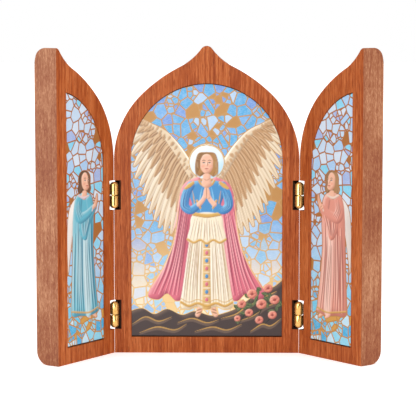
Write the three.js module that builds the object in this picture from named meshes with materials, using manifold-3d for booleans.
// Small hinged table triptych: a keel-arched centre board and two half-outline wings, each with a
// picture plate in a shallow recess, joined by four brass barrel hinges.
// Millimetres. +X to the right, +Y to the back, +Z up. The origin is the middle of the flat strip
// that the centre board stands on. The wings are modelled at the angles they are set to.

import * as THREE from 'three';
import { mergeVertices } from 'three/addons/utils/BufferGeometryUtils.js';
import Module from 'manifold-3d';

// Boards
const BOARD_HEIGHT = 210;
const BOARD_THICKNESS = 18;
const BOARD_HALF_WIDTH = 63.1;
const BACK_ROUND = BOARD_THICKNESS / 2;          // quarter round along the back of the outline
const FRONT_Y = -(BOARD_THICKNESS - BACK_ROUND) / 2;
const ROUND_START_Y = FRONT_Y + BOARD_THICKNESS - BACK_ROUND;
const SAW_GAP = 0.3;                             // each wing's closing edge, from the middle line

// Keel arch: a shoulder arc, a flatter flank, a hollow and a rounded tip, each tangent to the next
const SPRING_HEIGHT = 132.2;
const SHOULDER_TURN = THREE.MathUtils.degToRad(46);
const FLANK_RADIUS = 106.5;
const HOLLOW_RADIUS = 40.6;
const TIP_RADIUS = 4.5;

// Recesses and the picture plates that lie in them
const WINDOW_HALF_WIDTH = 51.6;
const WINDOW_BOTTOM = 11;
const CENTER_WINDOW = [-WINDOW_HALF_WIDTH, WINDOW_HALF_WIDTH];
const CENTER_WINDOW_SPRING = 133.2;
const WING_WINDOW_SPRING = 130.4;
const WING_WINDOW_INNER_EDGE = 10.6;             // from the middle line of the closed pair of wings
const RECESS_DEPTH = 2;
const PLATE_THICKNESS = 1;
const PLATE_SIDE_GAP = 0.1;
const PLATE_BOTTOM_GAP = 0.8;
const PLATE_DROP = 0.5;                          // how much lower its round head sits than the recess's
const PLATE_BACK_GAP = 0.3;

// Hinges
const EDGE_GAP = 0.05;                           // from the hinge axis to each board's edge
const FACE_GAP = 0.1;                            // from the hinge axis back to the boards' fronts
const HINGE_AXIS_X = BOARD_HALF_WIDTH + EDGE_GAP;
const HINGE_AXIS_Y = FRONT_Y - FACE_GAP;
const HINGE_HEIGHTS = { upper: 108.8, lower: 26.6 };
const KNUCKLE_RADIUS = 3;
const KNUCKLE_LENGTH = 8.9;
const KNUCKLE_DOME = 2.7;
const KNUCKLE_SPLIT = 0.3;                       // half of the gap between the two knuckles
const PIN_RADIUS = 1.2;
const PIN_HALF_LENGTH = 6;
const PIN_CLEARANCE = 0.3;
const NOTCH_HEIGHT = 20.2;
const NOTCH_WIDTH = { center: 4.6, wing: 4.8 };  // into each board from its edge
const NOTCH_DEPTH = 10;
const LEAF_THICKNESS = 0.8;
const LEAF_GAP = 0.3;                            // leaf to the walls and floor of its notch
const ARM_DEPTH = 1.2;                           // the leaf's arm, behind the axis
const ARM_START = 1.9;                           // inside the knuckle's wall, from the axis
const LIP_START = 3.1;                           // the leaf's lip, clear of the other knuckle
const LIP_HALF_HEIGHT = 8;

// How far each wing is swung forward from lying in line with the centre board
const WING_SWING = { left: 57.5, right: 51 };

const ARC_STEPS = { shoulder: 9, flank: 3, hollow: 5, tip: 4 };
const ROUND_STEPS = 6;
const WINDOW_STEPS = 28;
const BARREL_SIDES = 28;
const DOME_STEPS = 5;

const COLORS = {
  wood: { color: 0xa35a2c, roughness: 0.45, metalness: 0 },
  picture: { color: 0xc2a878, roughness: 0.35, metalness: 0 },
  brass: { color: 0xd9a441, roughness: 0.18, metalness: 1 },
};

const wasm = await Module();
wasm.setup();

function toSolid(geometry) {
  const bare = geometry.clone();
  bare.deleteAttribute('normal');
  bare.deleteAttribute('uv');
  const merged = mergeVertices(bare, 1e-4);
  return new wasm.Manifold(new wasm.Mesh({
    numProp: 3,
    vertProperties: new Float32Array(merged.attributes.position.array),
    triVerts: new Uint32Array(merged.index.array),
  }));
}

function toGeometry(solid) {
  const mesh = solid.getMesh();
  const geometry = new THREE.BufferGeometry();
  geometry.setAttribute('position', new THREE.BufferAttribute(mesh.vertProperties, 3));
  geometry.setIndex(new THREE.BufferAttribute(mesh.triVerts, 1));
  geometry.computeVertexNormals();
  return geometry;
}

// A box between two opposite corners, given in any order
function box(cornerA, cornerB) {
  const bounds = new THREE.Box3().setFromPoints([cornerA, cornerB]);
  const size = bounds.getSize(new THREE.Vector3());
  const middle = bounds.getCenter(new THREE.Vector3());
  return new THREE.BoxGeometry(size.x, size.y, size.z).translate(middle.x, middle.y, middle.z);
}

// Circles of the keel arch, right half: centre, radius and whether it bulges out of the board
function keelCircles() {
  const shoulder = new THREE.Vector2(0, SPRING_HEIGHT);
  const alongTurn = new THREE.Vector2(Math.cos(SHOULDER_TURN), Math.sin(SHOULDER_TURN));
  const flank = shoulder.clone().addScaledVector(alongTurn, BOARD_HALF_WIDTH - FLANK_RADIUS);
  const tip = new THREE.Vector2(0, BOARD_HEIGHT - TIP_RADIUS);
  // The hollow's centre lies one touching distance from the flank's centre and from the tip's
  const fromFlank = FLANK_RADIUS + HOLLOW_RADIUS;
  const fromTip = HOLLOW_RADIUS + TIP_RADIUS;
  const span = flank.distanceTo(tip);
  const along = (fromFlank ** 2 - fromTip ** 2 + span ** 2) / (2 * span);
  const aside = Math.sqrt(fromFlank ** 2 - along ** 2);
  const direction = tip.clone().sub(flank).normalize();
  const hollow = flank.clone()
    .addScaledVector(direction, along)
    .addScaledVector(new THREE.Vector2(direction.y, -direction.x), aside);
  return { shoulder, flank, hollow, tip };
}

function arcPoints(center, radius, from, to, steps) {
  const points = [];
  for (let i = 0; i <= steps; i += 1) {
    const angle = from + (to - from) * i / steps;
    points.push(new THREE.Vector2(
      center.x + radius * Math.cos(angle),
      center.y + radius * Math.sin(angle),
    ));
  }
  return points;
}

// Right half of the board's outline, moved inwards by inset, from the bottom corner up to the tip
function halfOutline(inset) {
  const { shoulder, flank, hollow, tip } = keelCircles();
  const hollowRadius = HOLLOW_RADIUS + inset;
  const tipRadius = Math.max(TIP_RADIUS - inset, 0);
  const flankEnd = Math.atan2(hollow.y - flank.y, hollow.x - flank.x);
  const hollowStart = flankEnd + Math.PI;
  // Past the tip's own radius the two hollows meet on the middle line
  const hollowEnd = tipRadius > 0
    ? Math.atan2(tip.y - hollow.y, tip.x - hollow.x)
    : Math.PI + Math.acos(hollow.x / hollowRadius);
  const hollowTurn = Math.atan2(Math.sin(hollowEnd - hollowStart), Math.cos(hollowEnd - hollowStart));
  const tipStart = Math.atan2(hollow.y - tip.y, hollow.x - tip.x);
  const tipCenter = tipRadius > 0
    ? tip
    : arcPoints(hollow, hollowRadius, hollowEnd, hollowEnd, 1)[0];
  return [
    new THREE.Vector2(BOARD_HALF_WIDTH - inset, inset),
    ...arcPoints(shoulder, BOARD_HALF_WIDTH - inset, 0, SHOULDER_TURN, ARC_STEPS.shoulder),
    ...arcPoints(flank, FLANK_RADIUS - inset, SHOULDER_TURN, flankEnd, ARC_STEPS.flank).slice(1),
    ...arcPoints(hollow, hollowRadius, hollowStart, hollowStart + hollowTurn, ARC_STEPS.hollow).slice(1),
    ...arcPoints(tipCenter, tipRadius, tipStart, Math.PI / 2, ARC_STEPS.tip).slice(1),
  ];
}

// The whole outline as a ring at depth y: right half upwards, left half downwards
function outlineRing(inset, y) {
  const half = halfOutline(inset);
  const mirrored = half.slice(0, -1).reverse().map((p) => new THREE.Vector2(-p.x, p.y));
  half[half.length - 1].x = 0;
  return [...half, ...mirrored].map((p) => new THREE.Vector3(p.x, y, p.y));
}

// Rings of equal length, front to back, skinned into a closed body whose ends are left-right strips
function skinRings(rings) {
  const count = rings[0].length;
  const positions = rings.flat().flatMap((p) => [p.x, p.y, p.z]);
  const index = [];
  for (let r = 0; r < rings.length - 1; r += 1) {
    for (let i = 0; i < count; i += 1) {
      const a = r * count + i;
      const b = r * count + (i + 1) % count;
      index.push(a, a + count, b, b, a + count, b + count);
    }
  }
  const back = (rings.length - 1) * count;
  for (let i = 0, j = count - 1; i < j; i += 1, j -= 1) {
    index.push(i, i + 1, j);
    index.push(back + i, back + j, back + i + 1);
    if (i + 1 < j - 1) {
      index.push(i + 1, j - 1, j);
      index.push(back + i + 1, back + j, back + j - 1);
    }
  }
  const geometry = new THREE.BufferGeometry();
  geometry.setAttribute('position', new THREE.Float32BufferAttribute(positions, 3));
  geometry.setIndex(index);
  return geometry;
}

function boardBlank() {
  const rings = [outlineRing(0, FRONT_Y), outlineRing(0, ROUND_START_Y)];
  for (let i = 1; i <= ROUND_STEPS; i += 1) {
    const angle = Math.PI / 2 * i / ROUND_STEPS;
    rings.push(outlineRing(
      BACK_ROUND * (1 - Math.cos(angle)),
      ROUND_START_Y + BACK_ROUND * Math.sin(angle),
    ));
  }
  return toSolid(skinRings(rings));
}

// A round-headed window between two x values, cut from a full arch about the middle line
function windowShape({ left, right, bottom, spring, radius }) {
  const low = Math.max(left, -radius);
  const high = Math.min(right, radius);
  const shape = new THREE.Shape();
  shape.moveTo(low, bottom);
  shape.lineTo(high, bottom);
  const head = arcPoints(
    new THREE.Vector2(0, spring),
    radius,
    Math.acos(high / radius),
    Math.acos(low / radius),
    WINDOW_STEPS,
  );
  head.forEach((p) => shape.lineTo(p.x, p.y));
  return shape;
}

function recessShape([left, right], spring) {
  return windowShape({ left, right, bottom: WINDOW_BOTTOM, spring, radius: WINDOW_HALF_WIDTH });
}

function plateShape([left, right], spring) {
  return windowShape({
    left: left + PLATE_SIDE_GAP,
    right: right - PLATE_SIDE_GAP,
    bottom: WINDOW_BOTTOM + PLATE_BOTTOM_GAP,
    spring: spring - PLATE_DROP,
    radius: WINDOW_HALF_WIDTH - PLATE_SIDE_GAP,
  });
}

// A flat shape drawn in x and z, given thickness from frontY backwards
function slab(shape, frontY, thickness) {
  return new THREE.ExtrudeGeometry(shape, { depth: thickness, bevelEnabled: false })
    .rotateX(Math.PI / 2)
    .translate(0, frontY + thickness, 0);
}

// The notches for the hinges, in the board's edge on one side (-1 left, 1 right)
function cutNotches(solid, side, width) {
  let cut = solid;
  for (const height of Object.values(HINGE_HEIGHTS)) {
    cut = cut.subtract(toSolid(box(
      new THREE.Vector3(side * (BOARD_HALF_WIDTH - width), FRONT_Y - 1, height - NOTCH_HEIGHT / 2),
      new THREE.Vector3(side * (BOARD_HALF_WIDTH + 1), FRONT_Y + NOTCH_DEPTH, height + NOTCH_HEIGHT / 2),
    )));
  }
  return cut;
}

function cutRecess(solid, edges, spring) {
  return solid.subtract(toSolid(slab(recessShape(edges, spring), FRONT_Y - 1, RECESS_DEPTH + 1)));
}

function centerBoard() {
  const recessed = cutRecess(boardBlank(), CENTER_WINDOW, CENTER_WINDOW_SPRING);
  return cutNotches(cutNotches(recessed, -1, NOTCH_WIDTH.center), 1, NOTCH_WIDTH.center);
}

// A wing's window, from its closing edge's margin to its hinge edge's, on one side of the middle line
function wingWindow(side) {
  const edges = [side * WING_WINDOW_INNER_EDGE, side * WINDOW_HALF_WIDTH];
  return [Math.min(...edges), Math.max(...edges)];
}

// The half of the outline on one side of the middle line
function wingBoard(side) {
  const sawnAway = box(
    new THREE.Vector3(side * SAW_GAP, FRONT_Y - 1, -1),
    new THREE.Vector3(-side * (BOARD_HALF_WIDTH + 1), FRONT_Y + BOARD_THICKNESS + 1, BOARD_HEIGHT + 1),
  );
  const half = boardBlank().subtract(toSolid(sawnAway));
  return cutNotches(cutRecess(half, wingWindow(side), WING_WINDOW_SPRING), side, NOTCH_WIDTH.wing);
}

function picturePlate(edges, spring) {
  const frontY = FRONT_Y + RECESS_DEPTH - PLATE_BACK_GAP - PLATE_THICKNESS;
  return slab(plateShape(edges, spring), frontY, PLATE_THICKNESS);
}

// One knuckle standing on the gap between the two, on the axis x = y = 0, with its pin hole
function knuckle() {
  const bore = PIN_RADIUS + PIN_CLEARANCE;
  const boreEnd = PIN_HALF_LENGTH + PIN_CLEARANCE;
  const straightEnd = KNUCKLE_SPLIT + KNUCKLE_LENGTH - KNUCKLE_DOME;
  const profile = [
    new THREE.Vector2(0, boreEnd),
    new THREE.Vector2(bore, boreEnd),
    new THREE.Vector2(bore, KNUCKLE_SPLIT),
    new THREE.Vector2(KNUCKLE_RADIUS, KNUCKLE_SPLIT),
  ];
  for (let i = 0; i <= DOME_STEPS; i += 1) {
    const angle = Math.PI / 2 * i / DOME_STEPS;
    const radius = i === DOME_STEPS ? 0 : KNUCKLE_RADIUS * Math.cos(angle);
    profile.push(new THREE.Vector2(radius, straightEnd + KNUCKLE_DOME * Math.sin(angle)));
  }
  return toSolid(new THREE.LatheGeometry(profile, BARREL_SIDES).rotateX(Math.PI / 2));
}

// Knuckle, arm, leaf and lip in one, for a notch of the given width. The leaf lies along the notch's
// inner wall, on the given side, and its lip bends round towards the knuckles. Turned over about Y
// it hangs below the gap, on the other side
function hingeHalf(side, notchWidth) {
  const wall = EDGE_GAP + notchWidth - LEAF_GAP;
  const leafBack = FACE_GAP + NOTCH_DEPTH - LEAF_GAP;
  const leafEnd = NOTCH_HEIGHT / 2 - LEAF_GAP;
  const armTop = KNUCKLE_SPLIT + KNUCKLE_LENGTH - KNUCKLE_DOME;
  const leaf = box(
    new THREE.Vector3(side * (wall - LEAF_THICKNESS), ARM_DEPTH, -leafEnd),
    new THREE.Vector3(side * wall, leafBack, leafEnd),
  );
  const arm = box(
    new THREE.Vector3(side * ARM_START, ARM_DEPTH, KNUCKLE_SPLIT),
    new THREE.Vector3(side * wall, ARM_DEPTH + LEAF_THICKNESS, armTop),
  );
  const lip = box(
    new THREE.Vector3(side * LIP_START, ARM_DEPTH, -LIP_HALF_HEIGHT),
    new THREE.Vector3(side * wall, ARM_DEPTH + LEAF_THICKNESS, LIP_HALF_HEIGHT),
  );
  return knuckle().add(toSolid(leaf)).add(toSolid(arm)).add(toSolid(lip));
}

function pinGeometry() {
  return new THREE.CylinderGeometry(PIN_RADIUS, PIN_RADIUS, 2 * PIN_HALF_LENGTH, BARREL_SIDES)
    .rotateX(Math.PI / 2);
}

function mesh(name, solid, finish) {
  const geometry = solid instanceof THREE.BufferGeometry ? solid : toGeometry(solid);
  const part = new THREE.Mesh(geometry, new THREE.MeshStandardMaterial(COLORS[finish]));
  part.name = name;
  return part;
}

const triptych = new THREE.Group();
triptych.add(mesh('center_board', centerBoard(), 'wood'));
triptych.add(mesh('center_picture', picturePlate(CENTER_WINDOW, CENTER_WINDOW_SPRING), 'picture'));

// Each wing's group turns about its hinge axis; side is -1 for the left wing and 1 for the right
for (const [wing, side] of [['left', -1], ['right', 1]]) {
  const hinged = new THREE.Group();
  hinged.position.set(side * HINGE_AXIS_X, HINGE_AXIS_Y, 0);
  hinged.rotation.z = -side * THREE.MathUtils.degToRad(WING_SWING[wing]);
  const picture = picturePlate(wingWindow(-side), WING_WINDOW_SPRING);
  for (const piece of [
    mesh(`${wing}_wing_board`, wingBoard(-side), 'wood'),
    mesh(`${wing}_picture`, picture, 'picture'),
  ]) {
    piece.position.set(side * HINGE_AXIS_X, -HINGE_AXIS_Y, 0);
    hinged.add(piece);
  }
  for (const [level, height] of Object.entries(HINGE_HEIGHTS)) {
    const name = `${wing}_${level}_hinge`;
    const topHalf = mesh(`${name}_top_knuckle`, hingeHalf(-side, NOTCH_WIDTH.center), 'brass');
    topHalf.position.set(side * HINGE_AXIS_X, HINGE_AXIS_Y, height);
    const pin = mesh(`${name}_pin`, pinGeometry(), 'brass');
    pin.position.copy(topHalf.position);
    triptych.add(topHalf, pin);
    const bottomHalf = mesh(`${name}_bottom_knuckle`, hingeHalf(-side, NOTCH_WIDTH.wing), 'brass');
    bottomHalf.position.set(0, 0, height);
    bottomHalf.rotation.y = Math.PI;
    hinged.add(bottomHalf);
  }
  triptych.add(hinged);
}

export default triptych;
